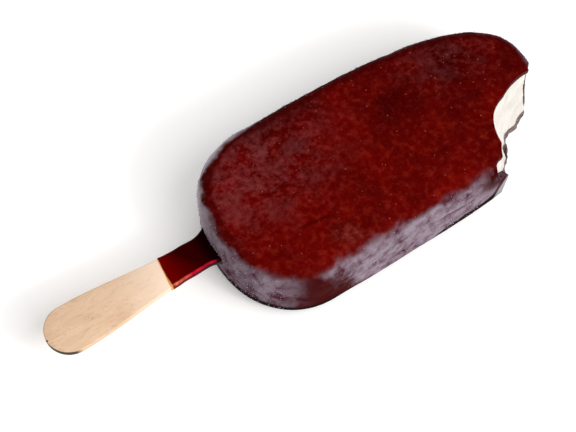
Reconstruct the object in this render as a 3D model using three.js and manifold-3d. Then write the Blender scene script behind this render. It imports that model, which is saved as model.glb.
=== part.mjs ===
// An ice cream bar on a wooden stick, lying flat on its back, with one corner of its tip bitten off.
// A thin chocolate coating wraps a slab of vanilla ice cream and runs a little way down the stick.
// Millimetres, +Z up. X runs from the free end of the stick to the tip of the bar, and the origin
// is below the middle of the whole length, on the surface that the bar lies on.
import * as THREE from 'three';
import { mergeVertices } from 'three/addons/utils/BufferGeometryUtils.js';
import Module from 'manifold-3d';

const wasm = await Module();
wasm.setup();

// The bar: a rounded slab that is widest near the stick and squarer at its tip.
const TOTAL_LENGTH = 158.4;
const BAR_LENGTH = 106.2;
const BAR_WIDTH = 52;
const BAR_THICKNESS = 25;
const TIP_REACH = 82.3; // from the widest station to the tip
const EDGE_ROUNDING = 6; // between the faces and the side wall
const TIP_SQUARENESS_LEFT = 3.05; // superellipse exponents of the outline's quarters
const TIP_SQUARENESS_RIGHT = 4.3;
const HEEL_SQUARENESS = 2.2;
const COATING = 1.6; // chocolate, all round
const GAP = 0.3; // clearance between neighbouring pieces

// The stick: a flat paddle with a round end that narrows to a waist and goes on into the ice cream.
const STICK_LENGTH = 94;
const STICK_THICKNESS = 2;
const PADDLE_RADIUS = 7.2;
const WAIST_HALF_WIDTH = 4.5;
const FLARE_LENGTH = 38; // from the paddle's widest place to the waist
const STICK_ASIDE = 2.5; // the stick stands off the bar's middle line, to the left
const STICK_RISE = 1; // and a little above its middle plane
const STICK_EASE = 0.3; // broken edge

// The chocolate on the stick's neck: a thin film, and a collar where it leaves the bar.
const FILM = 0.4;
const FILM_EASE = 0.5;
const FILM_MOUTH_FROM_END = 36.4; // how far the film's edge is from the stick's free end
const COLLAR_LENGTH = 4;
const COLLAR_RADIUS = 7.2;
const COLLAR_TAPER = 3.2;
const COLLAR_FLATNESS = 0.5; // its height over its width

// The bite: seen from above, the teeth come in across the right corner of the tip. They leave a
// line of tooth marks in the top face, another halfway down and another in the base. Each mark is a
// shallow hollow, with its place along the bite, how far out its deepest point is, and its radius.
const BITE_PLACE = new THREE.Vector2(60, -9.5);
const BITE_TURN = Math.PI / 4;
const BITE_REACH = 40; // the cutter goes this far out, past the bar
const BITE_SPAN = { from: -26, to: 26 };
const TOP_MARKS = [
  { along: -15.2, out: 2.5, radius: 2 },
  { along: -9.5, out: 3.2, radius: 10 },
  { along: -1, out: -0.2, radius: 11 },
  { along: 2, out: 1.2, radius: 14 },
  { along: 19.5, out: 6.4, radius: 12 },
];
const MIDDLE_MARKS = [
  { along: -12.5, out: 3.8, radius: 9 },
  { along: 2, out: 2.4, radius: 16 },
  { along: 19, out: 6.2, radius: 20 },
];
const BASE_MARKS = [
  { along: -14, out: 6, radius: 45 },
  { along: -4.2, out: 5.6, radius: 8 },
  { along: 1, out: 5.25, radius: 9 },
  { along: 4.8, out: 4.85, radius: 4 },
  { along: 9.5, out: 7.4, radius: 7 },
  { along: 21, out: 7.6, radius: 12 },
];

// How finely the round shapes are divided.
const OUTLINE_STEPS = 96;
const ROUNDING_STEPS = 4;
const STICK_STEPS = 12;
const ARC_STEPS = 8;
const COLLAR_STEPS = 5;
const BITE_STEPS = { along: 34, down: 6 };

const TIP_X = TOTAL_LENGTH / 2;
const HEEL_X = TIP_X - BAR_LENGTH;
const WIDEST_X = TIP_X - TIP_REACH;
const STICK_END_X = -TOTAL_LENGTH / 2;
const STICK_Z = BAR_THICKNESS / 2 + STICK_RISE;

// The bar's outline seen from above: four superellipse quarters that meet at their apexes.
class BarOutline extends THREE.Curve {
  constructor() {
    super();
    this.arcLengthDivisions = 1000;
  }

  getPoint(t, target = new THREE.Vector3()) {
    const angle = 2 * Math.PI * t;
    const atTip = Math.cos(angle) > 0;
    const onLeft = Math.sin(angle) > 0;
    const reach = atTip ? TIP_REACH : BAR_LENGTH - TIP_REACH;
    const tipSquareness = onLeft ? TIP_SQUARENESS_LEFT : TIP_SQUARENESS_RIGHT;
    const power = atTip ? tipSquareness : HEEL_SQUARENESS;
    const along = Math.abs(Math.cos(angle)) / reach;
    const across = Math.abs(Math.sin(angle)) / (BAR_WIDTH / 2);
    const radius = (along ** power + across ** power) ** (-1 / power);
    return target.set(WIDEST_X + radius * Math.cos(angle), radius * Math.sin(angle), 0);
  }
}

// The rows of a slab whose skin lies some depth below the bar's surface, from the middle of the
// top face over the rounded edge and down to the middle of the base.
function slabRows(depth) {
  const radius = EDGE_ROUNDING - depth;
  const upper = [{ spread: 0, inset: EDGE_ROUNDING, z: BAR_THICKNESS - depth }];
  for (let step = 0; step <= ROUNDING_STEPS; step += 1) {
    const angle = (step / ROUNDING_STEPS) * (Math.PI / 2);
    const inset = EDGE_ROUNDING - radius * Math.sin(angle);
    const z = BAR_THICKNESS - EDGE_ROUNDING + radius * Math.cos(angle);
    upper.push({ spread: 1, inset, z });
  }
  const lower = upper.map((row) => ({ ...row, z: BAR_THICKNESS - row.z })).reverse();
  return [...upper, ...lower];
}

// A closed slab: the grid of a sphere, laid on the outline one way and on the rows the other way.
function slab(depth) {
  const outline = new BarOutline();
  const rows = slabRows(depth);
  const geometry = new THREE.SphereGeometry(1, OUTLINE_STEPS, rows.length - 1);
  const { position, uv } = geometry.attributes;
  for (let index = 0; index < position.count; index += 1) {
    const row = rows[Math.round((1 - uv.getY(index)) * (rows.length - 1))];
    const t = THREE.MathUtils.clamp(uv.getX(index), 0, 1);
    const edge = outline.getPointAt(t);
    const tangent = outline.getTangentAt(t);
    const x = edge.x - tangent.y * row.inset;
    const y = edge.y + tangent.x * row.inset;
    position.setXYZ(index, WIDEST_X + (x - WIDEST_X) * row.spread, y * row.spread, row.z);
  }
  return toSolid(geometry);
}

// Half the stick's width, at a distance from its free end.
function stickHalfWidth(fromEnd) {
  const flare = THREE.MathUtils.clamp((fromEnd - PADDLE_RADIUS) / FLARE_LENGTH, 0, 1);
  return WAIST_HALF_WIDTH + (PADDLE_RADIUS - WAIST_HALF_WIDTH) * (1 + Math.cos(Math.PI * flare)) / 2;
}

// Points along one side of the stick, grown by some margin. The side is 1 for left, -1 for right.
function stickSide(from, to, margin, side) {
  const points = [];
  for (let step = 0; step <= STICK_STEPS; step += 1) {
    const fromEnd = THREE.MathUtils.lerp(from, to, step / STICK_STEPS);
    points.push(new THREE.Vector2(fromEnd, side * (stickHalfWidth(fromEnd) + margin)));
  }
  return points;
}

// The stick's whole outline, grown by some margin.
function stickShape(margin) {
  const shape = new THREE.Shape();
  const innerEnd = STICK_LENGTH - WAIST_HALF_WIDTH;
  shape.absarc(PADDLE_RADIUS, 0, PADDLE_RADIUS + margin, Math.PI / 2, Math.PI * 1.5, false);
  for (const point of stickSide(PADDLE_RADIUS, innerEnd, margin, -1).slice(1)) {
    shape.lineTo(point.x, point.y);
  }
  shape.absarc(innerEnd, 0, WAIST_HALF_WIDTH + margin, -Math.PI / 2, Math.PI / 2, false);
  for (const point of stickSide(innerEnd, PADDLE_RADIUS, margin, 1).slice(1, -1)) {
    shape.lineTo(point.x, point.y);
  }
  return shape;
}

// A flat piece in the stick's place: an outline with the stick's thickness, grown by the same
// margin, its edges broken by a small bevel.
function stickLayer(shape, margin, ease) {
  const thickness = STICK_THICKNESS + 2 * margin;
  const geometry = new THREE.ExtrudeGeometry(shape, {
    depth: thickness - 2 * ease,
    curveSegments: ARC_STEPS,
    bevelEnabled: ease > 0,
    bevelThickness: ease,
    bevelSize: ease,
    bevelOffset: -ease,
    bevelSegments: 1,
  });
  geometry.translate(STICK_END_X, STICK_ASIDE, STICK_Z - thickness / 2 + ease);
  return toSolid(geometry);
}

// The film of chocolate on the stick's neck, before the stick's own room is cut out of it.
function filmSleeve() {
  const margin = GAP + FILM;
  const root = HEEL_X + COATING - STICK_END_X;
  const right = stickSide(FILM_MOUTH_FROM_END, root, margin, -1);
  const left = stickSide(root, FILM_MOUTH_FROM_END, margin, 1);
  return stickLayer(new THREE.Shape([...right, ...left]), margin, FILM_EASE);
}

// The collar: a flattened trumpet of chocolate where the stick goes into the bar.
function collar() {
  const profile = [new THREE.Vector2(0, 0)];
  const length = COLLAR_LENGTH + COATING;
  for (let step = 0; step <= COLLAR_STEPS; step += 1) {
    const share = step / COLLAR_STEPS;
    const radius = COLLAR_RADIUS - COLLAR_TAPER * (1 - (1 - share) ** 2);
    profile.push(new THREE.Vector2(radius, length * share));
  }
  profile.push(new THREE.Vector2(0, length));
  const geometry = new THREE.LatheGeometry(profile, ARC_STEPS * 3);
  geometry.rotateZ(Math.PI / 2);
  geometry.scale(1, 1, COLLAR_FLATNESS);
  geometry.translate(HEEL_X + COATING, STICK_ASIDE, STICK_Z);
  return toSolid(geometry);
}

// How far out a line of tooth marks leaves the ice cream, at a place along the bite.
function toothLine(marks, along) {
  return Math.min(...marks.map((mark) => mark.out + (along - mark.along) ** 2 / (2 * mark.radius)));
}

// How far out the bitten wall is, at a place along the bite and a share of the way down: the
// parabola through the three lines of marks.
function bittenWall(along, down) {
  const top = toothLine(TOP_MARKS, along) * (1 - down) * (1 - 2 * down);
  const middle = toothLine(MIDDLE_MARKS, along) * 4 * down * (1 - down);
  const base = toothLine(BASE_MARKS, along) * down * (2 * down - 1);
  return top + middle + base;
}

// What the bite takes away: a block whose inner face is the bitten wall.
function biteCutter() {
  const span = BITE_SPAN.to - BITE_SPAN.from;
  const height = BAR_THICKNESS + 2;
  const geometry = new THREE.BoxGeometry(span, 2, height, BITE_STEPS.along, 1, BITE_STEPS.down);
  const { position } = geometry.attributes;
  for (let index = 0; index < position.count; index += 1) {
    const along = position.getX(index) + (BITE_SPAN.from + BITE_SPAN.to) / 2;
    const z = position.getZ(index);
    const down = THREE.MathUtils.clamp(0.5 - z / BAR_THICKNESS, 0, 1);
    const out = position.getY(index) > 0 ? bittenWall(along, down) : BITE_REACH;
    position.setXYZ(index, along, -out, z + BAR_THICKNESS / 2);
  }
  geometry.rotateZ(BITE_TURN);
  geometry.translate(BITE_PLACE.x, BITE_PLACE.y, 0);
  return toSolid(geometry);
}

// A closed geometry as a solid that can be joined and cut. Triangles that come to nothing at a
// pole are left out.
function toSolid(geometry) {
  geometry.deleteAttribute('normal');
  geometry.deleteAttribute('uv');
  const merged = mergeVertices(geometry);
  const corners = merged.index.array;
  const kept = [];
  for (let start = 0; start < corners.length; start += 3) {
    const [a, b, c] = corners.slice(start, start + 3);
    if (a !== b && b !== c && c !== a) kept.push(a, b, c);
  }
  return new wasm.Manifold(new wasm.Mesh({
    numProp: 3,
    vertProperties: Float32Array.from(merged.attributes.position.array),
    triVerts: Uint32Array.from(kept),
  }));
}

// A named mesh of a finished solid.
function piece(name, shape, finish) {
  const { vertProperties, triVerts } = shape.getMesh();
  const geometry = new THREE.BufferGeometry();
  geometry.setAttribute('position', new THREE.BufferAttribute(vertProperties, 3));
  geometry.setIndex(new THREE.BufferAttribute(triVerts, 1));
  geometry.computeVertexNormals();
  const mesh = new THREE.Mesh(geometry, new THREE.MeshStandardMaterial(finish));
  mesh.name = name;
  return mesh;
}

const bite = biteCutter();
const stickRoom = stickLayer(stickShape(GAP), GAP, 0);

const coating = slab(0)
  .add(filmSleeve())
  .add(collar())
  .subtract(slab(COATING))
  .subtract(stickRoom)
  .subtract(bite);
const core = slab(COATING + GAP)
  .subtract(stickRoom)
  .subtract(bite);
const stick = stickLayer(stickShape(0), 0, STICK_EASE);

const bar = new THREE.Group();
bar.name = 'ice_cream_bar';
bar.add(piece('chocolate_coating', coating, { color: 0x5c0e09, roughness: 0.55, metalness: 0 }));
bar.add(piece('ice_cream', core, { color: 0xf7f3ea, roughness: 0.6, metalness: 0 }));
bar.add(piece('stick', stick, { color: 0xe8c6a4, roughness: 0.7, metalness: 0 }));

export default bar;
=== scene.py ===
import math
import random

import bmesh
import bpy
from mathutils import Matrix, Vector, noise


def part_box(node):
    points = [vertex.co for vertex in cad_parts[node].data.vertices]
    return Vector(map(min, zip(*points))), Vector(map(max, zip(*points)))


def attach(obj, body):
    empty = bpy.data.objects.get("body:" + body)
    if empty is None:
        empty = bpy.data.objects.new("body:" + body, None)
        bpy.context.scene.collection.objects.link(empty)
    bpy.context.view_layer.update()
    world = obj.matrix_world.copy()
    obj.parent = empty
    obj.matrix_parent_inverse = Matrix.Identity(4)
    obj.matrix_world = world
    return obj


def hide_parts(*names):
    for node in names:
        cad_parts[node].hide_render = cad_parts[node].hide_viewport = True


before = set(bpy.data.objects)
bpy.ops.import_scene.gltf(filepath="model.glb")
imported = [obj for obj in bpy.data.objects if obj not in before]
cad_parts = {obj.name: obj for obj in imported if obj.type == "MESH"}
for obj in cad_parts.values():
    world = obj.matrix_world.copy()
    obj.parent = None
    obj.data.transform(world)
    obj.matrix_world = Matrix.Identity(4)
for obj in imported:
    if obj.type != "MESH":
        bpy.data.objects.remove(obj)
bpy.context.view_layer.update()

# ---- Chocolate coating ------------------------------------------------------------------
# Dark chocolate, set in a thin shell round the frozen bar, which is dipped once by its stick.
# The mould gives two flat faces, soft rims, a round heel at the stick and a blunter tip, and
# the dip leaves low waves. One bite has cut the shell open at the tip's near corner.
MM = 0.001
COAT = 1.6 * MM
RIM_ROUNDING = 6 * MM
MOULD_CLEARANCE = 0.3 * MM
BAR_WIDEST_FROM_TIP = 82.3 * MM
CORNER_STEPS = 60
RIM_STEPS = 10

shell_low, shell_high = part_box("chocolate_coating")
TIP_X = shell_high.x
HEEL_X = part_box("ice_cream")[0].x - COAT - MOULD_CLEARANCE
WIDEST_X = TIP_X - BAR_WIDEST_FROM_TIP
HALF_WIDTH = shell_high.y
THICKNESS = shell_high.z

# How square each quarter of the outline is: 2 is an ellipse, and more is squarer.
TIP_SQUARENESS_FAR = 3.05
TIP_SQUARENESS_NEAR = 4.3
HEEL_SQUARENESS = 2.2

# The bite lies across the tip's near corner. Each row of tooth marks is a list of marks:
# how far along the bite, how far out, and the radius of that tooth, all in millimetres.
BITE_CENTRE = Vector((TIP_X / MM - 19.2, -9.5))
BITE_ALONG = Vector((1, 1)).normalized()
BITE_OUT = Vector((1, -1)).normalized()
BITE_REACH = 40
BITE_HALF_LENGTH = 26
TOP_MARKS = ((-9.5, 3.45, 8), (-1, -0.2, 11), (2, 1.2, 14), (19.5, 6.4, 12))
CHIP_IN_COAT = (-15.9, 3.1, 2)
MIDDLE_MARKS = ((-12.5, 3.8, 9), (2, 2.4, 16), (19, 6.2, 20))
BASE_MARKS = ((-14, 6.0, 45), (-4.2, 5.6, 8), (1, 5.25, 9), (4.8, 4.85, 4), (9.5, 7.4, 7),
              (21, 7.6, 12))


def deselect_all():
    """Leaves nothing selected, so that the next operator acts on the new piece alone."""
    if bpy.context.object and bpy.context.object.mode != "OBJECT":
        bpy.ops.object.mode_set(mode="OBJECT")
    bpy.ops.object.select_all(action="DESELECT")


def select(piece, kind, test):
    """In edit mode, selects the vertices, edges or faces that pass a test."""
    bpy.ops.mesh.select_mode(type=kind)
    bpy.ops.mesh.select_all(action="DESELECT")
    mesh = bmesh.from_edit_mesh(piece.data)
    for part in {"VERT": mesh.verts, "EDGE": mesh.edges, "FACE": mesh.faces}[kind]:
        if test(part):
            part.select_set(True)
    bmesh.update_edit_mesh(piece.data)


def start_box(name, low, high):
    """A box between two corners, open in edit mode for shaping."""
    deselect_all()
    middle = [(a + b) / 2 for a, b in zip(low, high)]
    size = [b - a for a, b in zip(low, high)]
    bpy.ops.mesh.primitive_cube_add(size=1, location=middle, scale=size)
    piece = bpy.context.object
    piece.name = name
    piece.data.name = name
    bpy.ops.object.transform_apply(location=True, rotation=True, scale=True)
    bpy.ops.object.mode_set(mode="EDIT")
    return piece


def finish_with(piece, kind, **settings):
    """Adds a modifier with its settings and applies it."""
    bpy.context.view_layer.objects.active = piece
    modifier = piece.modifiers.new(kind.lower(), kind)
    for name, value in settings.items():
        setattr(modifier, name, value)
    bpy.ops.object.modifier_apply(modifier=modifier.name)


def cut(piece, cutter):
    """Cuts the cutter's volume out of the piece. The cut faces take the cutter's material."""
    finish_with(piece, "BOOLEAN", operation="DIFFERENCE", solver="EXACT", object=cutter,
                material_mode="TRANSFER")
    bpy.data.objects.remove(cutter)


def between_face_and_wall(edge):
    """True for an edge with an upright wall on one side and a flat face on the other."""
    return sum(abs(face.normal.z) > 0.9 for face in edge.link_faces) == 1


def moulded_bar(name, depth):
    """The bar's form, this deep under its surface: a box with bevelled corners and rims."""
    tip, heel = TIP_X - depth, HEEL_X + depth
    side, floor, top = HALF_WIDTH - depth, depth, THICKNESS - depth
    bar = start_box(name, (heel, -side, floor), (tip, side, top))
    for place, direction in (((WIDEST_X, 0, 0), (1, 0, 0)), ((0, 0, 0), (0, 1, 0))):
        bpy.ops.mesh.select_all(action="SELECT")
        bpy.ops.mesh.bisect(plane_co=place, plane_no=direction)
    corners = (
        (tip, side, TIP_SQUARENESS_FAR),
        (tip, -side, TIP_SQUARENESS_NEAR),
        (heel, side, HEEL_SQUARENESS),
        (heel, -side, HEEL_SQUARENESS),
    )
    near = 0.01 * MM
    # each bevel takes nearly the whole of its two sides, and what is left is merged: its profile
    # is a superellipse too, from 0.25 for a straight one, by 0.5 for a round one, up to 1
    for x, y, squareness in corners:
        select(bar, "EDGE", lambda edge: all(
            abs(v.co.x - x) < near and abs(v.co.y - y) < near for v in edge.verts))
        bpy.ops.mesh.bevel(offset_type="PERCENT", offset_pct=99.98, segments=CORNER_STEPS,
                           profile=2 ** (-2 / squareness), affect="EDGES", clamp_overlap=False)
    bpy.ops.mesh.select_all(action="SELECT")
    bpy.ops.mesh.remove_doubles(threshold=0.02 * MM)
    select(bar, "EDGE", between_face_and_wall)
    bpy.ops.mesh.bevel(offset_type="OFFSET", offset=RIM_ROUNDING - depth, segments=RIM_STEPS,
                       profile=0.5, affect="EDGES", clamp_overlap=False)
    bpy.ops.object.mode_set(mode="OBJECT")
    return bar


def tooth_line(marks, along):
    """How far out a row of teeth reaches, in millimetres: each tooth leaves a hollow curve."""
    return min(out + (along - place) ** 2 / (2 * radius) for place, out, radius in marks)


def bitten_wall(along, down, top_marks=TOP_MARKS):
    """The bite's wall, curved through three rows of marks: down is 0 on top and 1 at the base.
    It is upright through the top coat, which snaps square."""
    down = max(0, (down - COAT / THICKNESS) / (1 - COAT / THICKNESS))
    top = tooth_line(top_marks, along) * (1 - down) * (1 - 2 * down)
    middle = tooth_line(MIDDLE_MARKS, along) * 4 * down * (1 - down)
    base = tooth_line(BASE_MARKS, along) * down * (2 * down - 1)
    return top + middle + base


def bite_block(name, columns, rows, wall):
    """The bitten-off space as a closed block: a grid laid on the wall and extruded outward."""
    deselect_all()
    bpy.ops.mesh.primitive_grid_add(x_subdivisions=columns, y_subdivisions=rows, size=1)
    block = bpy.context.object
    block.name = name
    spare = 0.06
    for vertex in block.data.vertices:
        along = vertex.co.x * 2 * BITE_HALF_LENGTH
        down = 0.5 - vertex.co.y * (1 + 2 * spare)
        out = wall(along, down)
        plan = (BITE_CENTRE + BITE_ALONG * along + BITE_OUT * out) * MM
        vertex.co = (plan.x, plan.y, THICKNESS * (1 - down))
    bpy.ops.object.mode_set(mode="EDIT")
    bpy.ops.mesh.select_all(action="SELECT")
    outward = BITE_OUT * BITE_REACH * MM
    bpy.ops.mesh.extrude_region_move(TRANSFORM_OT_translate={"value": (outward.x, outward.y, 0)})
    bpy.ops.mesh.select_all(action="SELECT")
    bpy.ops.mesh.normals_make_consistent(inside=False)
    bpy.ops.object.mode_set(mode="OBJECT")
    return block


def ease(value, low, high):
    """0 below low, 1 above high, and a smooth step between."""
    t = min(max((value - low) / (high - low), 0), 1)
    return t * t * (3 - 2 * t)


def clouds(name, size):
    """A soft procedural relief with lumps of this size."""
    texture = bpy.data.textures.new(name, "CLOUDS")
    texture.noise_scale = size
    texture.noise_depth = 1
    return texture


def weigh(piece, name, weight):
    """A vertex group that says how strongly each vertex takes a relief."""
    group = piece.vertex_groups.new(name=name)
    for vertex in piece.data.vertices:
        group.add([vertex.index], weight(vertex), "REPLACE")
    return name


def linear(code):
    """An sRGB hex colour as the linear colour that a shader takes."""
    parts = [int(code[i:i + 2], 16) / 255 for i in (1, 3, 5)]
    return (*(p / 12.92 if p <= 0.04045 else ((p + 0.055) / 1.055) ** 2.4 for p in parts), 1)


def add(tree, kind, inputs=(), **settings):
    """Adds one shader node: settings are its own, and inputs are values or the sockets to link."""
    made = tree.nodes.new("ShaderNode" + kind)
    for name, value in settings.items():
        setattr(made, name, value)
    for name, value in dict(inputs).items():
        if isinstance(value, bpy.types.NodeSocket):
            tree.links.new(value, made.inputs[name])
        else:
            made.inputs[name].default_value = value
    return made.outputs


def new_finish(name):
    """A material, its node tree, its shader, and the place on the object in millimetres."""
    finish = bpy.data.materials.new(name)
    finish.use_nodes = True
    tree = finish.node_tree
    place = add(tree, "TexCoord")["Object"]
    place = add(tree, "VectorMath", {0: place, "Scale": 1 / MM}, operation="SCALE")[0]
    return finish, tree, tree.nodes["Principled BSDF"], place


def patch(tree, place, centre, radii, turn=0.0, soft=0.5, most=1.0):
    """An oval mark, 0 outside and its most inside: centre and radii in mm, turn in degrees."""
    local = add(tree, "Mapping", {"Vector": place, "Location": centre, "Scale": radii,
                                  "Rotation": (0, 0, math.radians(turn))}, vector_type="TEXTURE")[0]
    far = add(tree, "VectorMath", {0: local}, operation="LENGTH")["Value"]
    return add(tree, "MapRange", {"Value": far, "From Min": 1 + soft / 2, "From Max": 1 - soft / 2,
                                  "To Max": most}, interpolation_type="SMOOTHSTEP")[0]


def weighed_sum(tree, start, *terms, clamp=False):
    """Patterns laid together: a start value, and each pattern times its weight added to it."""
    total = start
    for pattern, weight in terms:
        last = (pattern, weight) == terms[-1]
        total = add(tree, "Math", {0: pattern, 1: weight, 2: total},
                    operation="MULTIPLY_ADD", use_clamp=clamp and last)[0]
    return total


# Dark couverture with ice bloom: a waxy, nearly matte red-brown, veiled and speckled on the
# faces and covered with grey-mauve frost wherever the surface turns down the side.
chocolate, tree, shader, place = new_finish("frosted_chocolate")
normal = add(tree, "TexCoord")["Normal"]
slope = add(tree, "SeparateXYZ", {0: normal})["Z"]
split = add(tree, "SeparateXYZ", {0: place})
length, across, height = split["X"], split["Y"], split["Z"]

# the sizes of the patterns in millimetres: all but the last two are drawn out up the walls
CLOUD, LOBE, LUMP, BLOTCH, FLECK, GRAIN, STREAK, GAP = 17, 5, 1.9, 1.6, 0.9, 0.5, 2.8, 9
FEATHER = 0.55
feathers = add(tree, "Mapping", {"Vector": place, "Scale": (1, 1, FEATHER)})[0]
cloud = add(tree, "TexNoise", {"Vector": feathers, "Scale": 1 / CLOUD, "Detail": 2})[0]
lobe = add(tree, "TexNoise", {"Vector": feathers, "Scale": 1 / LOBE, "Detail": 3})[0]
lump = add(tree, "TexNoise", {"Vector": feathers, "Scale": 1 / LUMP, "Detail": 3,
                              "Roughness": 0.65})[0]
blotch = add(tree, "TexNoise", {"Vector": feathers, "Scale": 1 / BLOTCH, "Detail": 5,
                                "Roughness": 0.65})[0]
fleck = add(tree, "TexNoise", {"Vector": feathers, "Scale": 1 / FLECK, "Detail": 6,
                               "Roughness": 0.7})[0]
grain = add(tree, "TexNoise", {"Vector": feathers, "Scale": 1 / GRAIN, "Detail": 3})[0]
drawn_along = add(tree, "Mapping", {"Vector": place, "Scale": (0.6, 0.75, 0.75)})[0]
streak = add(tree, "TexNoise", {"Vector": drawn_along, "Scale": 1 / STREAK, "Detail": 2,
                                "Roughness": 0.5, "Distortion": 0.2})[0]
gap = add(tree, "TexNoise", {"Vector": place, "Scale": 1 / GAP, "Detail": 1})[0]

# Bare chocolate: redder and lighter in the middle of the face, darker towards the far side.
# A Mix of colours takes its share at 0 and its colours at 6 and 7, and gives the blend at 2.
dark_side = add(tree, "MapRange", {"Value": across, "From Min": -18, "From Max": 24})[0]
dark_tip = add(tree, "MapRange", {"Value": length, "From Min": 25, "From Max": 75})[0]
deep = weighed_sum(tree, -1.37, (cloud, 2.1), (dark_side, 0.5), (lobe, 0.8), (dark_tip, 0.3),
                   clamp=True)
tone = add(tree, "Mix", {0: deep, 6: linear("#5D0301"), 7: linear("#380000")},
           data_type="RGBA")[2]
away = add(tree, "MapRange", {"Value": across, "From Min": -16, "From Max": 2})[0]
rim_band = add(tree, "MapRange", {"Value": slope, "From Min": 0.995, "From Max": 0.93,
                                  "To Max": away})[0]
# painted shade: the far rim band, where the face starts to turn away from the light, is painted
# darker
painted_far_rim_shade = add(tree, "Math", {0: rim_band, 1: 0.75}, operation="MULTIPLY")[0]
lump_light = add(tree, "MapRange", {"Value": deep, "To Min": 0.56, "To Max": 0.16})[0]
bright_lump = add(tree, "MapRange", {"Value": lump, "From Min": 0.5, "From Max": 0.74,
                                     "To Max": lump_light})[0]
dark_lump = add(tree, "MapRange", {"Value": lump, "From Min": 0.46, "From Max": 0.28,
                                   "To Max": 0.55})[0]

# a thin veil of frost on the face, cloudy and finely mottled, thickest near the heel
veil_heel = patch(tree, place, (-11, 12, 25), (24, 15, 30), soft=1.5)
veil_tip = patch(tree, place, (60, 13, 25), (16, 9, 30), soft=1.3)
veil = weighed_sum(tree, -2.75, (fleck, 1.6), (lobe, 2.2), (lump, 2.4), clamp=True)
veil_ends = weighed_sum(tree, 0.02, (veil_heel, 0.52), (veil_tip, 0.24))
off_rim = add(tree, "MapRange", {"Value": rim_band, "To Min": 1, "To Max": 0.1})[0]
for share in (veil_ends, off_rim):
    veil = add(tree, "Math", {0: veil, 1: share}, operation="MULTIPLY")[0]
mottle = add(tree, "MapRange", {"Value": fleck, "From Min": 0.529, "From Max": 0.824,
                                "To Max": 0.34})[0]

# painted shade: bare sides are painted darker than the face where they turn away from the light,
# and the foot is painted near black as shade at the base: it stands lower in the middle of the near
# side and on the far side, and higher by the bite and round the heel
painted_side_shade = add(tree, "MapRange", {"Value": slope, "From Min": 0.85, "From Max": 0.45,
                                   "To Max": 0.8})[0]
low_foot = patch(tree, place, (15, -26, 3), (16, 12, 30), soft=0.6)
tall_foot = patch(tree, place, (43, -26, 3), (13, 12, 30), soft=0.4)
heel_foot = add(tree, "MapRange", {"Value": length, "From Min": -15, "From Max": -25})[0]
far_foot = add(tree, "MapRange", {"Value": across, "From Min": 4, "From Max": 16})[0]
above_foot = weighed_sum(tree, height, (low_foot, 1.6), (tall_foot, -1.9), (heel_foot, -2.2),
                         (far_foot, 2.6))
painted_foot_shade = add(tree, "MapRange", {"Value": above_foot, "From Min": 6.9, "From Max": 5.7,
                                  "To Max": 0.95})[0]
# the far rim, the bare sides and the foot are painted shade; the lumps, the veil and the mottle are
# the chocolate's own tone
for share, colour in ((painted_far_rim_shade, "#400000"), (bright_lump, "#862014"), (dark_lump, "#3E0000"),
                      (veil, "#7E3A3C"), (mottle, "#8A2014"), (painted_side_shade, "#2C0304"),
                      (painted_foot_shade, "#0C0406")):
    tone = add(tree, "Mix", {0: share, 6: tone, 7: linear(colour)}, data_type="RGBA")[2]

# frost on the slopes, with a feathered edge above and a ragged one at the foot: along the far side
# it is broken by gaps, painted shade that leaves the far side dark, and it reaches further up the
# far part of the heel
past_middle = add(tree, "MapRange", {"Value": across, "From Min": 2, "From Max": 14})[0]
far_heel = add(tree, "MapRange", {"Value": length, "From Min": 34, "From Max": -8,
                                  "To Max": past_middle})[0]
at_far_rim = add(tree, "MapRange", {"Value": across, "From Min": 13, "From Max": 23})[0]
heel_rim = add(tree, "MapRange", {"Value": length, "From Min": 34, "From Max": -8,
                                  "To Max": at_far_rim})[0]
past_heel = add(tree, "MapRange", {"Value": length, "From Min": -4, "From Max": 12})[0]
far_wall = add(tree, "MapRange", {"Value": across, "From Min": 12, "From Max": 22,
                                  "To Max": past_heel})[0]
# painted shade: gaps in the frost along the far side, so that side reads dark
far_side_shade_gaps = add(tree, "MapRange", {"Value": gap, "From Min": 0.729, "From Max": 0.3125,
                                  "To Max": far_wall})[0]
edge = weighed_sum(tree, -0.43, (slope, 1), (lobe, 0.62), (blotch, 0.24), (far_heel, 0.12),
                   (heel_rim, -0.17), (far_side_shade_gaps, 0.42))
bare_foot = patch(tree, place, (-6, -26, 3), (13, 9, 6), soft=1.4)
ragged_foot = weighed_sum(tree, above_foot, (blotch, 0.8), (lobe, 1.2), (bare_foot, -2.2))
frost_above = add(tree, "MapRange", {"Value": ragged_foot, "From Min": 6.2, "From Max": 7.4})[0]
frost = add(tree, "MapRange", {"Value": edge, "From Min": 0.86, "From Max": 0.46,
                               "To Max": frost_above}, interpolation_type="SMOOTHSTEP")[0]

# it has gone from the near corner of the heel, in a slanting patch with ragged sides
ragged_x = weighed_sum(tree, -7, (length, 1), (lobe, 9), (blotch, 5))
leaning_x = add(tree, "Math", {0: height, 1: 0.6, 2: ragged_x}, operation="MULTIPLY_ADD")[0]
on_near_side = add(tree, "MapRange", {"Value": across, "From Min": -14, "From Max": -19})[0]
short_of_right = add(tree, "MapRange", {"Value": leaning_x, "From Min": 11, "From Max": 3,
                                        "To Max": on_near_side},
                     interpolation_type="SMOOTHSTEP")[0]
bare_corner = add(tree, "MapRange", {"Value": ragged_x, "From Min": -23, "From Max": -10,
                                     "To Max": short_of_right},
                  interpolation_type="SMOOTHSTEP")[0]

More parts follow.
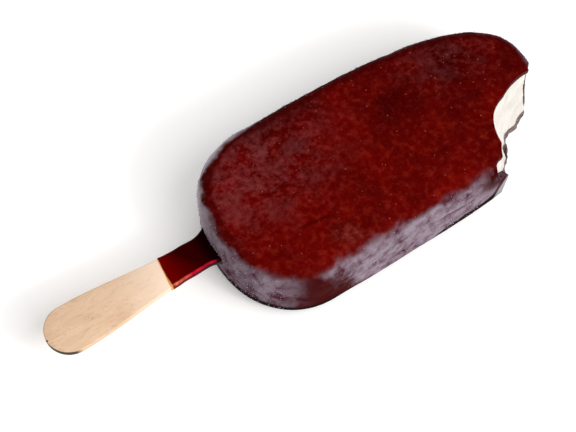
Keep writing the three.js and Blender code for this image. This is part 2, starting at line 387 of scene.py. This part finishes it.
# and from the end that was bitten, and where the break rubbed it off in a slanting line
in_blotches = add(tree, "MapRange", {"Value": blotch, "From Max": 0.5})[0]
bitten_end = patch(tree, place, (51.5, -25, 20), (6.5, 5, 7), soft=1.4, most=in_blotches)
BREAK_X, BREAK_SLOPE = 50.7, 0.36
past_break = weighed_sum(tree, -BREAK_X, (length, 1), (height, -BREAK_SLOPE))
on_near_wall = add(tree, "MapRange", {"Value": across, "From Min": -21, "From Max": -23})[0]
low_on_wall = add(tree, "MapRange", {"Value": height, "From Min": 19, "From Max": 15,
                                     "To Max": on_near_wall})[0]
off_line = add(tree, "Math", {0: past_break, 1: 2.6}, operation="ADD")[0]
off_line = add(tree, "Math", {0: off_line}, operation="ABSOLUTE")[0]
rubbed = add(tree, "MapRange", {"Value": off_line, "From Min": 1.3, "From Max": 0.5,
                                "To Max": low_on_wall})[0]
for bare, share in ((bare_corner, 0.985), (bitten_end, 1.1), (rubbed, 0.9)):
    kept = add(tree, "Math", {0: bare, 1: -share, 2: 1}, operation="MULTIPLY_ADD",
               use_clamp=True)[0]
    frost = add(tree, "Math", {0: frost, 1: kept}, operation="MULTIPLY")[0]

# frost is greyer where it is thick, and shows the chocolate through where it is thin; on the near
# side, which faces the light, it is painted thicker and paler: painted light
near_side_painted_light = add(tree, "MapRange", {"Value": across, "From Min": -18, "From Max": -25,
                                    "To Min": 0.86, "To Max": 1.06})[0]
holes = add(tree, "MapRange", {"Value": grain, "From Min": 0.64, "From Max": 0.74,
                               "To Max": 0.4})[0]
thick = weighed_sum(tree, -2.55, (cloud, 1.2), (streak, 2.2), (lobe, 1.4), (blotch, 1.5),
                    clamp=True)
thick = add(tree, "Math", {0: thick, 1: near_side_painted_light}, operation="MULTIPLY")[0]
thick = add(tree, "Math", {0: thick, 1: holes}, operation="SUBTRACT", use_clamp=True)[0]
frost_tone = add(tree, "Mix", {0: thick, 6: linear("#4A2632"), 7: linear("#8D7E8A")},
                 data_type="RGBA")[2]
# painted light: the frost on the far part of the heel is painted paler, as if lit
painted_heel_frost_light = add(tree, "Math", {0: far_heel, 1: 0.6}, operation="MULTIPLY")[0]
frost_tone = add(tree, "Mix", {0: painted_heel_frost_light, 6: frost_tone, 7: linear("#E4D8E2")},
                 data_type="RGBA")[2]
frost_cover = add(tree, "Math", {0: frost, 1: 0.95}, operation="MULTIPLY")[0]
tone = add(tree, "Mix", {0: frost_cover, 6: tone, 7: frost_tone}, data_type="RGBA")[2]

# small marks: the rimed facet of the break, a scratch and a scuff on the face, a crack in the
# frost
facet = add(tree, "MapRange", {"Value": past_break, "From Min": -1.8, "From Max": -1.2,
                               "To Max": low_on_wall})[0]
facet = add(tree, "Math", {0: facet, 1: 0.85}, operation="MULTIPLY")[0]
scratch = patch(tree, place, (-1.7, -11.2, 25), (5.4, 0.45, 3), turn=-8, soft=1.6, most=0.85)
on_lumps = add(tree, "MapRange", {"Value": lump, "From Min": 0.324, "From Max": 0.618})[0]
scuff = patch(tree, place, (4, -19.2, 25), (3.8, 2.8, 3), turn=-30, soft=1.5, most=on_lumps)
scuff = add(tree, "MapRange", {"Value": fleck, "From Min": 0.308, "From Max": 1.077,
                               "To Max": scuff})[0]
crack = patch(tree, place, (36, -25.6, 15.6), (7, 6, 0.35), soft=1.2, most=0.75)
for share, colour in ((facet, "#9A979C"), (scratch, "#420201"), (scuff, "#8E4038"),
                      (crack, "#3B1016")):
    tone = add(tree, "Mix", {0: share, 6: tone, 7: linear(colour)}, data_type="RGBA")[2]

tree.links.new(tone, shader.inputs["Base Color"])
rough = add(tree, "MapRange", {"Value": frost, "To Min": 0.55, "To Max": 0.85})[0]
tree.links.new(rough, shader.inputs["Roughness"])
shader.inputs["Specular IOR Level"].default_value = 0.006
grainy = add(tree, "MapRange", {"Value": frost, "To Min": 0.15, "To Max": 0.95})[0]
fine = add(tree, "Math", {0: grain, 1: grainy}, operation="MULTIPLY")[0]
fine = add(tree, "Bump", {"Height": fine, "Distance": 0.14 * MM, "Strength": 0.7})[0]
waves = add(tree, "Bump", {"Height": blotch, "Distance": 0.1 * MM, "Strength": 0.4,
                           "Normal": fine})[0]
tree.links.new(waves, shader.inputs["Normal"])

# The same chocolate where it broke: dull and crumbly, and greyed by melt water at the base.
broken, tree, shader, place = new_finish("broken_chocolate")
CRUMB, BLOT = 0.6, 3.2
crumb = add(tree, "TexNoise", {"Vector": place, "Scale": 1 / CRUMB, "Detail": 3})[0]
crumb = add(tree, "MapRange", {"Value": crumb, "From Min": 0.35, "From Max": 0.65})[0]
split = add(tree, "SeparateXYZ", {0: place})
across, height = split["Y"], split["Z"]
tone = add(tree, "Mix", {0: crumb, 6: linear("#380F0C"), 7: linear("#4A1A16")},
           data_type="RGBA")[2]
wet_tone = add(tree, "Mix", {0: crumb, 6: linear("#4C3B39"), 7: linear("#857673")},
               data_type="RGBA")[2]
blot = add(tree, "TexNoise", {"Vector": place, "Scale": 1 / BLOT, "Detail": 2})[0]
blot = add(tree, "MapRange", {"Value": blot, "From Min": 0.54, "From Max": 0.62,
                              "To Max": 0.85})[0]
wet_tone = add(tree, "Mix", {0: blot, 6: wet_tone, 7: linear("#231819")}, data_type="RGBA")[2]
# at the near corner of the bite it is frosted over: dark on the ledge, and pale below it
ledge_tone = add(tree, "Mix", {0: crumb, 6: linear("#2A0E14"), 7: linear("#5C4550")},
                 data_type="RGBA")[2]
rimed_tone = add(tree, "Mix", {0: crumb, 6: linear("#7D7078"), 7: linear("#B7B2B8")},
                 data_type="RGBA")[2]
wet = add(tree, "MapRange", {"Value": height, "From Min": 18, "From Max": 2})[0]
on_corner = add(tree, "MapRange", {"Value": across, "From Min": -20.5, "From Max": -21.5,
                                   "To Max": 0.85})[0]
ledge = add(tree, "MapRange", {"Value": height, "From Min": 18.5, "From Max": 17.5,
                               "To Max": on_corner})[0]
below_ledge = add(tree, "MapRange", {"Value": height, "From Min": 15.5, "From Max": 12.5})[0]
rimed = add(tree, "MapRange", {"Value": across, "From Min": -22.5, "From Max": -24.5,
                               "To Max": below_ledge})[0]
for share, over in ((wet, wet_tone), (ledge, ledge_tone), (rimed, rimed_tone)):
    tone = add(tree, "Mix", {0: share, 6: tone, 7: over}, data_type="RGBA")[2]
tree.links.new(tone, shader.inputs["Base Color"])
shader.inputs["Roughness"].default_value = 0.8
shader.inputs["Specular IOR Level"].default_value = 0.1
bump = add(tree, "Bump", {"Height": crumb, "Distance": 0.12 * MM})[0]
tree.links.new(bump, shader.inputs["Normal"])

DIP_WAVE, DIP_WAVE_HEIGHT = 14 * MM, 0.9 * MM
FROST_LUMP, FROST_LUMP_HEIGHT = 2.4 * MM, 0.3 * MM
coating = moulded_bar("coating_shell", 0)
finish_with(coating, "REMESH", mode="VOXEL", voxel_size=0.55 * MM)
finish_with(coating, "SMOOTH", factor=0.5, iterations=4)
above_tray = weigh(coating, "above_tray", lambda v: ease(v.co.z, 1.5 * MM, 6 * MM))
frosted = weigh(coating, "frosted", lambda v: ease(v.co.z, 3 * MM, 6 * MM)
                * (1 - ease(v.normal.z, 0.45, 0.8)))
finish_with(coating, "DISPLACE", texture=clouds("dip_waves", DIP_WAVE), texture_coords="LOCAL",
            strength=DIP_WAVE_HEIGHT, mid_level=0.5, vertex_group=above_tray)
finish_with(coating, "DISPLACE", texture=clouds("frost_lumps", FROST_LUMP),
            texture_coords="LOCAL", strength=FROST_LUMP_HEIGHT, mid_level=0.4,
            vertex_group=frosted)
coating.vertex_groups.clear()
coating.data.materials.append(chocolate)

hollow = moulded_bar("hollow", COAT)
hollow.data.materials.append(broken)
cut(coating, hollow)


# At the bite's near end the wall outlasted the bite, from a ledge down, and its edge slants
# back. At the tip it stands a little proud, and from the middle on the base does so too.
WALL_OUTLASTS = 4.4
TIP_WALL_PROUD = 0.9
BASE_PROUD = 0.8
EDGE_SLANT = 0.95


def chocolate_break(along, down):
    """Chocolate snaps in small chips, roughest at the base, where it bent before it broke."""
    chips = noise.noise(Vector((along / 1.1, down * 3, 7))) * 0.45
    chips += noise.noise(Vector((along / 0.45, down * 6, 3))) * 0.18
    at_base = ease(down, 0.88, 0.96)
    chips *= 0.12 + 0.6 * at_base
    near_wall = WALL_OUTLASTS * ease(-along, 13, 14.5) * ease(down, 0.3, 0.42)
    near_wall *= min(1, (1 - down) / 0.65)
    near_edge = -EDGE_SLANT * max(0, -15.2 - along) * ease(down, 0.12, 0.4)
    tip_wall = TIP_WALL_PROUD * ease(along, 15, 18) * ease(down, COAT / THICKNESS, 0.2)
    base = BASE_PROUD * ease(-along, -4, -1) - BASE_PROUD / 2 * ease(-along, 0.5, 3)
    base = at_base * (0.1 + base)
    bitten = bitten_wall(along, down, (CHIP_IN_COAT, *TOP_MARKS))
    return bitten + near_wall + near_edge + tip_wall + base + chips


snapped = bite_block("snapped_off", 180, 56, chocolate_break)
snapped.data.materials.append(broken)
cut(coating, snapped)
deselect_all()
coating.select_set(True)
bpy.context.view_layer.objects.active = coating
bpy.ops.object.shade_smooth_by_angle(angle=math.radians(32))
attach(coating, "root")
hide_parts("chocolate_coating")

# ---- Frost crystals ---------------------------------------------------------------------
# Hoar frost: ice that grew on the cold shell in grains, thick down the walls and sparse on
# the face, where only loose grains lie. Each grain is a small double pyramid.
GRAINS_ON_WALLS, GRAINS_ON_FACE = 4200, 150
WALL_GRAIN_SIZES = 0.07 * MM, 0.2 * MM
FACE_GRAIN_SIZES = 0.12 * MM, 0.34 * MM
GRAINS_ABOVE = 5.2 * MM
dice = random.Random(11)


def grain_chance(face):
    """How likely frost grows on a face of the shell: likely on a wall, seldom on top, and
    never on a broken face, at the foot, on the bare corner of the heel or beside the bite."""
    x = face.center.x / MM
    bare = face.center.y < -18 * MM and (-18 < x < 2 or x > 45)
    if bare or face.material_index or face.center.z < GRAINS_ABOVE:
        return 0
    return face.area * (1 - ease(face.normal.z, 0.5, 0.85))


def place_grains(places, chances, count, sizes, looseness, corners, faces):
    """Adds this many grains, each sunk a third of its size into the shell."""
    for face in dice.choices(places, chances, k=count):
        size = dice.uniform(*sizes)
        turned = face.normal.to_track_quat("Z", "Y").to_matrix()
        spin = dice.uniform(0, math.tau)
        seat = face.center + Vector([dice.uniform(-0.2, 0.2) * MM for _ in range(3)]) * looseness
        first = len(corners)
        corners.append(seat + face.normal * size)
        corners.append(seat - face.normal * size / 3)
        for corner in range(4):
            turn = spin + corner * math.tau / 4
            reach = size * dice.uniform(0.7, 1.2)
            corners.append(seat + turned @ Vector((math.cos(turn), math.sin(turn), 0)) * reach)
        for corner in range(4):
            here, after = first + 2 + corner, first + 2 + (corner + 1) % 4
            faces.append((first, here, after))
            faces.append((first + 1, after, here))


# Ice grains: clear, greyed by the dark chocolate below, and tinged with it on the face.
rime, tree, shader, place = new_finish("grown_hoar_frost")
SPARKLE = 0.6
sparkle = add(tree, "TexNoise", {"Vector": place, "Scale": 1 / SPARKLE, "Detail": 1})[0]
sparkle = add(tree, "MapRange", {"Value": sparkle, "From Min": 0.35, "From Max": 0.65})[0]
height = add(tree, "SeparateXYZ", {0: place})["Z"]
on_face = add(tree, "MapRange", {"Value": height, "From Min": 23.4, "From Max": 24.6})[0]
tone = add(tree, "Mix", {0: sparkle, 6: linear("#7C6A74"), 7: linear("#AC9FA9")},
           data_type="RGBA")[2]
tinged = add(tree, "Mix", {0: sparkle, 6: linear("#6A2018"), 7: linear("#8E4438")},
             data_type="RGBA")[2]
tone = add(tree, "Mix", {0: on_face, 6: tone, 7: tinged}, data_type="RGBA")[2]
tree.links.new(tone, shader.inputs["Base Color"])
shader.inputs["Roughness"].default_value = 0.45
shader.inputs["IOR"].default_value = 1.31
shader.inputs["Specular IOR Level"].default_value = 0.2

walls = list(coating.data.polygons)
tops = [face for face in walls if face.normal.z > 0.95 and face.center.z > 20 * MM]
corners, faces = [], []
place_grains(walls, [grain_chance(face) for face in walls], GRAINS_ON_WALLS, WALL_GRAIN_SIZES, 1,
             corners, faces)
place_grains(tops, [face.area for face in tops], GRAINS_ON_FACE, FACE_GRAIN_SIZES, 0,
             corners, faces)
grains = bpy.data.meshes.new("frost_crystals")
grains.from_pydata(corners, [], faces)
grains.materials.append(rime)
crystals = bpy.data.objects.new("frost_crystals", grains)
bpy.context.scene.collection.objects.link(crystals)
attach(crystals, "root")

# ---- Ice cream core ---------------------------------------------------------------------
# Vanilla ice cream, frozen solid in the mould round the end of the stick, before the dip.
# Only the bite shows it: the teeth scraped it smooth, with fine upright streaks.
CORE_CLEARANCE = 0.02 * MM


def tooth_scrape(along, down):
    """Fine upright streaks, a low ridge where the upper and lower teeth met, and a little
    melted back above the base."""
    streaks = noise.noise(Vector((along / 0.8, down * 0.9, 1))) * 0.22
    streaks += noise.noise(Vector((along / 2.6, down * 1.4, 5))) * 0.4
    lumps = noise.noise(Vector((along / 3.5, down * 7, 9))) * 0.35
    ridge = 0.35 * math.exp(-((down - 0.56 - 0.05 * math.sin(along / 4)) / 0.05) ** 2)
    relief = (streaks + lumps) * ease(down, 0.04, 0.16) + ridge
    melted = 0.15 + 0.75 * ease(-along, -3, 1)
    return bitten_wall(along, down) + relief - melted * ease(down, 0.6, 0.95)


# Vanilla ice cream: milky and warm white, a little translucent, with a soft wet gloss.
vanilla, tree, shader, place = new_finish("bitten_vanilla_ice_cream")
CREAM_CLOUD, ICE_CRYSTAL = 5, 0.35
cream_cloud = add(tree, "TexNoise", {"Vector": place, "Scale": 1 / CREAM_CLOUD, "Detail": 3})[0]
cream_cloud = add(tree, "MapRange", {"Value": cream_cloud, "From Min": 0.35, "From Max": 0.65})[0]
tone = add(tree, "Mix", {0: cream_cloud, 6: linear("#C9C3BC"), 7: linear("#D9D4CD")},
           data_type="RGBA")[2]
tree.links.new(tone, shader.inputs["Base Color"])
shader.inputs["Roughness"].default_value = 0.5
shader.inputs["Specular IOR Level"].default_value = 0.3
shader.inputs["Subsurface Weight"].default_value = 0.35
shader.inputs["Subsurface Radius"].default_value = (1.0, 0.8, 0.6)
shader.inputs["Subsurface Scale"].default_value = 1.2 * MM
icy = add(tree, "TexNoise", {"Vector": place, "Scale": 1 / ICE_CRYSTAL, "Detail": 3})[0]
bump = add(tree, "Bump", {"Height": icy, "Distance": 0.12 * MM, "Strength": 0.6})[0]
tree.links.new(bump, shader.inputs["Normal"])

core = moulded_bar("ice_cream_core", COAT + CORE_CLEARANCE)
core.data.materials.append(vanilla)
bitten = bite_block("bitten_off", 220, 84, tooth_scrape)
bitten.data.materials.append(vanilla)
cut(core, bitten)
deselect_all()
core.select_set(True)
bpy.context.view_layer.objects.active = core
bpy.ops.object.shade_smooth_by_angle(angle=math.radians(40))
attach(core, "root")
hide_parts("ice_cream")

# ---- Wooden stick -----------------------------------------------------------------------
# Birch veneer, die-cut to a paddle that narrows to a waist, then tumbled to ease its edges.
# It is frozen into the bar with its waist, and its round end is the handle.
stick_low, stick_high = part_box("stick")
STICK_THICKNESS = stick_high.z - stick_low.z
STICK_MIDDLE = (stick_low + stick_high) / 2
PADDLE_RADIUS = (stick_high.y - stick_low.y) / 2
WAIST_HALF_WIDTH = 4.5 * MM
FLARE_LENGTH = 38 * MM
STICK_EASE = 0.35 * MM


def stick_half_width(distance):
    """Half the stick's width at a distance from its free end, past the round of the end."""
    turn = math.pi * min(max((distance - PADDLE_RADIUS) / FLARE_LENGTH, 0), 1)
    return WAIST_HALF_WIDTH + (PADDLE_RADIUS - WAIST_HALF_WIDTH) * (1 + math.cos(turn)) / 2


def drawn_out(name, start, stations, half_height):
    """A flat bar: a narrow plate across the stick, extruded from station to station.
    A station is its x, its half width and its half height."""
    low = (start, STICK_MIDDLE.y - stations[0][1], STICK_MIDDLE.z - half_height)
    high = (stations[0][0], STICK_MIDDLE.y + stations[0][1], STICK_MIDDLE.z + half_height)
    piece = start_box(name, low, high)
    for before, after in zip(stations, stations[1:]):
        select(piece, "FACE", lambda face: face.normal.x > 0.9
               and abs(face.calc_center_median().x - before[0]) < 0.001 * MM)
        bpy.ops.mesh.extrude_region_move(
            TRANSFORM_OT_translate={"value": (after[0] - before[0], 0, 0)})
        bpy.ops.transform.resize(
            value=(1, after[1] / before[1], after[2] / before[2]),
            center_override=(after[0], STICK_MIDDLE.y, STICK_MIDDLE.z))
    return piece


# Birch: pale cream wood, close-grained, with faint wandering lines and a few short flecks. Round
# the handle's end the wall below the top face is painted near black: painted shade, partly a drop
# shadow.
birch, tree, shader, place = new_finish("die_cut_birch")
split = add(tree, "SeparateXYZ", {0: place})
facing = add(tree, "SeparateXYZ", {0: add(tree, "TexCoord")["Normal"]})
FIGURE_LONG, FIGURE_WIDE = 9, 3
FLECK_LONG, FLECK_WIDE = 3.5, 0.4
along_grain = add(tree, "Mapping", {"Vector": place, "Scale": (
    1 / FIGURE_LONG, 1 / FIGURE_WIDE, 1 / FIGURE_WIDE)})[0]
figure = add(tree, "TexNoise", {"Vector": along_grain, "Scale": 1, "Detail": 3,
                                "Roughness": 0.5, "Distortion": 0.5})[0]
RINGS = 9
rings = add(tree, "Math", {0: figure, 1: RINGS}, operation="MULTIPLY")[0]
rings = add(tree, "Math", {0: rings}, operation="FRACT")[0]
rings = add(tree, "MapRange", {"Value": rings, "From Min": 0.82, "From Max": 1})[0]
fleck_grain = add(tree, "Mapping", {"Vector": place, "Scale": (
    1 / FLECK_LONG, 1 / FLECK_WIDE, 1 / FLECK_WIDE)})[0]
flecks = add(tree, "TexNoise", {"Vector": fleck_grain, "Scale": 1, "Detail": 2})[0]
flecks = add(tree, "MapRange", {"Value": flecks, "From Min": 0.58, "From Max": 0.75})[0]
figure = add(tree, "MapRange", {"Value": figure, "From Min": 0.35, "From Max": 0.68})[0]
tone = add(tree, "Mix", {0: figure, 6: linear("#E5C3A3"), 7: linear("#DCB796")},
           data_type="RGBA")[2]
near_bar = add(tree, "MapRange", {"Value": split["X"], "From Min": -58, "From Max": -43})[0]
paler = add(tree, "Math", {0: near_bar, 1: 0.9}, operation="MULTIPLY")[0]
fainter = add(tree, "MapRange", {"Value": near_bar, "To Min": 1, "To Max": 0.2})[0]
lines = weighed_sum(tree, 0, (flecks, 0.22), (rings, 0.3))
lines = add(tree, "Math", {0: lines, 1: fainter}, operation="MULTIPLY")[0]
below_face = add(tree, "MapRange", {"Value": split["Z"], "From Min": stick_high.z / MM - 0.02,
                                    "From Max": stick_high.z / MM - 0.16, "To Max": 0.95})[0]
# painted shade on the wall round the handle's end, where it turns away
painted_end_shade = add(tree, "MapRange", {"Value": facing["X"], "From Min": -0.02, "From Max": -0.25,
                                   "To Max": below_face})[0]
for share, colour in ((paler, "#F8DDC4"), (lines, "#9A7658"), (painted_end_shade, "#0A0706")):
    tone = add(tree, "Mix", {0: share, 6: tone, 7: linear(colour)}, data_type="RGBA")[2]
tree.links.new(tone, shader.inputs["Base Color"])
shader.inputs["Roughness"].default_value = 0.62
shader.inputs["Specular IOR Level"].default_value = 0.25
bump = add(tree, "Bump", {"Height": flecks, "Distance": 0.06 * MM, "Strength": 0.5})[0]
bump = add(tree, "Bump", {"Height": figure, "Distance": 0.05 * MM, "Strength": 0.3,
                          "Normal": bump})[0]
tree.links.new(bump, shader.inputs["Normal"])

ROUND_STEPS, FLARE_STEPS = 16, 24
stations = []
for step in range(1, ROUND_STEPS + 1):
    angle = math.pi / 2 * step / ROUND_STEPS
    stations.append((stick_low.x + PADDLE_RADIUS * (1 - math.cos(angle)),
                     PADDLE_RADIUS * math.sin(angle), STICK_THICKNESS / 2))
for step in range(1, FLARE_STEPS + 1):
    distance = PADDLE_RADIUS + FLARE_LENGTH * step / FLARE_STEPS
    stations.append((stick_low.x + distance, stick_half_width(distance), STICK_THICKNESS / 2))
stations.append((stick_high.x, WAIST_HALF_WIDTH, STICK_THICKNESS / 2))
stick = drawn_out("wooden_stick", stick_low.x, stations, STICK_THICKNESS / 2)
select(stick, "EDGE", between_face_and_wall)
bpy.ops.mesh.bevel(offset=STICK_EASE, segments=3, profile=0.5, affect="EDGES")
bpy.ops.object.mode_set(mode="OBJECT")
stick.data.materials.append(birch)
bpy.ops.object.shade_smooth_by_angle(angle=math.radians(35))
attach(stick, "root")
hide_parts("stick")

# ---- Neck of chocolate ------------------------------------------------------------------
# The dip reaches a little up the stick and leaves a film that follows it, glossy because no
# frost forms there. It thickens to a collar at the bar, and thins to clear amber at its mouth.
NECK_MOUTH_X = shell_low.x
NECK_FILM = 0.32 * MM
NECK_LOW_Y = STICK_MIDDLE.y - 5.2 * MM
MOUTH_SLANT = 0.12
NECK_END_X = HEEL_X + 1.2 * MM
COLLAR_X = HEEL_X - 3.6 * MM
COLLAR_WIDER, COLLAR_TALLER = 1.3 * MM, 1.2 * MM
FILM_WAVE, FILM_WAVE_HEIGHT = 4 * MM, 0.25 * MM


def neck_section(x):
    """Half the neck's width and height at x: the stick, its film, and the collar's swelling."""
    swell = max(0, (x - COLLAR_X) / (NECK_END_X - COLLAR_X)) ** 2
    half_width = stick_half_width(x - stick_low.x) + NECK_FILM + COLLAR_WIDER * swell
    return half_width, STICK_THICKNESS / 2 + NECK_FILM + COLLAR_TALLER * swell


# Thin chocolate over wood: a deep maroon with a wet shine, clearer and redder towards its
# mouth, where a hair of amber shows the wood through it, widest at the near edge.
neck_gloss, tree, shader, place = new_finish("glossy_chocolate_film")
WANDER, RIPPLE = 2.2, 3
split = add(tree, "SeparateXYZ", {0: place})
wander = add(tree, "TexNoise", {"Vector": place, "Scale": 1 / WANDER, "Detail": 2})[0]
from_mouth = weighed_sum(tree, (MOUTH_SLANT * NECK_LOW_Y - NECK_MOUTH_X) / MM, (split["X"], 1),
                         (split["Y"], -MOUTH_SLANT))
near_edge = add(tree, "MapRange", {"Value": split["Y"], "From Min": 6, "From Max": -2.5})[0]
hair = add(tree, "Math", {0: near_edge, 1: 3}, operation="POWER")[0]
hair = weighed_sum(tree, 0.02, (hair, 0.5), (wander, 0.25))
amber = add(tree, "Math", {0: from_mouth, 1: hair}, operation="DIVIDE")[0]
amber = add(tree, "MapRange", {"Value": amber, "From Min": 1.3, "From Max": 0.3})[0]
ruby_reach = add(tree, "MapRange", {"Value": near_edge, "To Min": 4.5, "To Max": 9.5})[0]
ruby = add(tree, "Math", {0: from_mouth, 1: ruby_reach}, operation="DIVIDE")[0]
ruby = add(tree, "MapRange", {"Value": ruby, "From Min": 1.2, "From Max": 0.1})[0]
tone = add(tree, "Mix", {0: ruby, 6: linear("#2A0000"), 7: linear("#640000")},
           data_type="RGBA")[2]
# painted shade: near the bar the film is painted near black
painted_root_shade = add(tree, "MapRange", {"Value": split["X"], "From Min": -31.5, "From Max": -28.5,
                                   "To Max": 0.9})[0]
tone = add(tree, "Mix", {0: painted_root_shade, 6: tone, 7: linear("#050001")}, data_type="RGBA")[2]
# painted highlight: along the near edge, where the film turns toward the light, it is painted
# bright red, pale orange by the mouth, and broken up along its length
turned = add(tree, "VectorMath", {0: add(tree, "TexCoord")["Normal"],
                                  1: (0, -0.62, 0.78)}, operation="DOT_PRODUCT")["Value"]
highlight_breakup = add(tree, "MapRange", {"Value": wander, "From Min": 0.278, "From Max": 0.556})[0]
painted_edge_highlight = add(tree, "MapRange", {"Value": turned, "From Min": 0.86, "From Max": 0.98,
                                  "To Max": highlight_breakup})[0]
by_mouth = add(tree, "MapRange", {"Value": from_mouth, "From Min": 7, "From Max": 2})[0]
painted_highlight_tone = add(tree, "Mix", {0: by_mouth, 6: linear("#B4142A"), 7: linear("#DC7258")},
                data_type="RGBA")[2]
tone = add(tree, "Mix", {0: painted_edge_highlight, 6: tone, 7: painted_highlight_tone}, data_type="RGBA")[2]
tone = add(tree, "Mix", {0: amber, 6: tone, 7: linear("#EDAE62")}, data_type="RGBA")[2]
tree.links.new(tone, shader.inputs["Base Color"])
shader.inputs["Roughness"].default_value = 0.2
shader.inputs["IOR"].default_value = 1.46
shader.inputs["Specular IOR Level"].default_value = 0.06
shader.inputs["Specular Tint"].default_value = linear("#FF4A38")
ripple = add(tree, "TexNoise", {"Vector": place, "Scale": 1 / RIPPLE, "Detail": 2})[0]
bump = add(tree, "Bump", {"Height": ripple, "Distance": 0.08 * MM, "Strength": 0.5})[0]
tree.links.new(bump, shader.inputs["Normal"])

NECK_STEPS = 24
stations = []
for step in range(1, NECK_STEPS + 1):
    x = NECK_MOUTH_X + (NECK_END_X - NECK_MOUTH_X) * step / NECK_STEPS
    stations.append((x, *neck_section(x)))
neck = drawn_out("neck_film", NECK_MOUTH_X, stations, stations[0][2])
select(neck, "EDGE", lambda edge: abs(edge.verts[0].co.x - edge.verts[1].co.x) > 0.2 * MM)
bpy.ops.mesh.bevel(offset=1.05 * MM, segments=6, profile=0.5, affect="EDGES")
bpy.ops.object.mode_set(mode="OBJECT")
finish_with(neck, "REMESH", mode="VOXEL", voxel_size=0.22 * MM)
finish_with(neck, "SMOOTH", factor=0.5, iterations=3)
finish_with(neck, "DISPLACE", texture=clouds("film_waves", FILM_WAVE), texture_coords="LOCAL",
            strength=FILM_WAVE_HEIGHT, mid_level=0.5)
for vertex in neck.data.vertices:
    at_mouth = 1 - ease(vertex.co.x, NECK_MOUTH_X, NECK_MOUTH_X + 7 * MM)
    vertex.co.x += at_mouth * MOUTH_SLANT * (vertex.co.y - NECK_LOW_Y)
neck.data.materials.append(neck_gloss)
deselect_all()
neck.select_set(True)
bpy.context.view_layer.objects.active = neck
bpy.ops.object.shade_smooth_by_angle(angle=math.radians(50))
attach(neck, "root")
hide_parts("chocolate_coating")

# ---- Studio -----------------------------------------------------------------------------
# A plain pale floor, a broad soft light from the near right, a dim fill, and the camera.
AIM = Vector((-3.573, -0.586, 12.503)) * MM
CAMERA_TILT, CAMERA_TURN = math.radians(26), math.radians(-33)
CAMERA_DISTANCE = 0.5
bpy.context.scene.view_settings.view_transform = "Standard"

paper, tree, shader, place = new_finish("pale_paper")
FIBRE_CLOUD = 40
fibre = add(tree, "TexNoise", {"Vector": place, "Scale": 1 / FIBRE_CLOUD, "Detail": 2})[0]
tone = add(tree, "Mix", {0: fibre, 6: linear("#F4F3F1"), 7: linear("#F9F8F7")},
           data_type="RGBA")[2]
tree.links.new(tone, shader.inputs["Base Color"])
shader.inputs["Roughness"].default_value = 0.9
shader.inputs["Emission Color"].default_value = (1, 1, 1, 1)
shader.inputs["Emission Strength"].default_value = 0.22
deselect_all()
bpy.ops.mesh.primitive_plane_add(size=3, location=(0, 0, -0.0002))
floor = bpy.context.object
floor.name = "floor"
floor.data.materials.append(paper)

world = bpy.data.worlds.new("soft_room")
bpy.context.scene.world = world
world.use_nodes = True
world.node_tree.nodes["Background"].inputs["Color"].default_value = (1, 1, 1, 1)
world.node_tree.nodes["Background"].inputs["Strength"].default_value = 0.5


def soft_light(name, azimuth, elevation, distance, size, power):
    """A square soft light that faces the bar. Azimuth 0 stands at the near side."""
    turn, rise = math.radians(azimuth), math.radians(elevation)
    away = Vector((math.sin(turn) * math.cos(rise), -math.cos(turn) * math.cos(rise),
                   math.sin(rise)))
    light = bpy.data.lights.new(name, "AREA")
    light.size = size
    light.energy = power
    made = bpy.data.objects.new(name, light)
    made.location = AIM + away * distance
    made.rotation_euler = away.to_track_quat("Z", "Y").to_euler()
    bpy.context.scene.collection.objects.link(made)


soft_light("key", 18, 48, 0.9, 0.7, 6)
soft_light("strip", 22, 38, 0.9, 0.16, 1.6)

lens = bpy.data.cameras.new("camera")
lens.lens = 111.52
lens.sensor_width = 36
lens.clip_start = 0.01
camera = bpy.data.objects.new("camera", lens)
camera.rotation_euler = (CAMERA_TILT, 0, CAMERA_TURN)
camera.location = AIM + camera.rotation_euler.to_matrix() @ Vector((0, 0, CAMERA_DISTANCE))
bpy.context.scene.collection.objects.link(camera)
bpy.context.scene.camera = camera
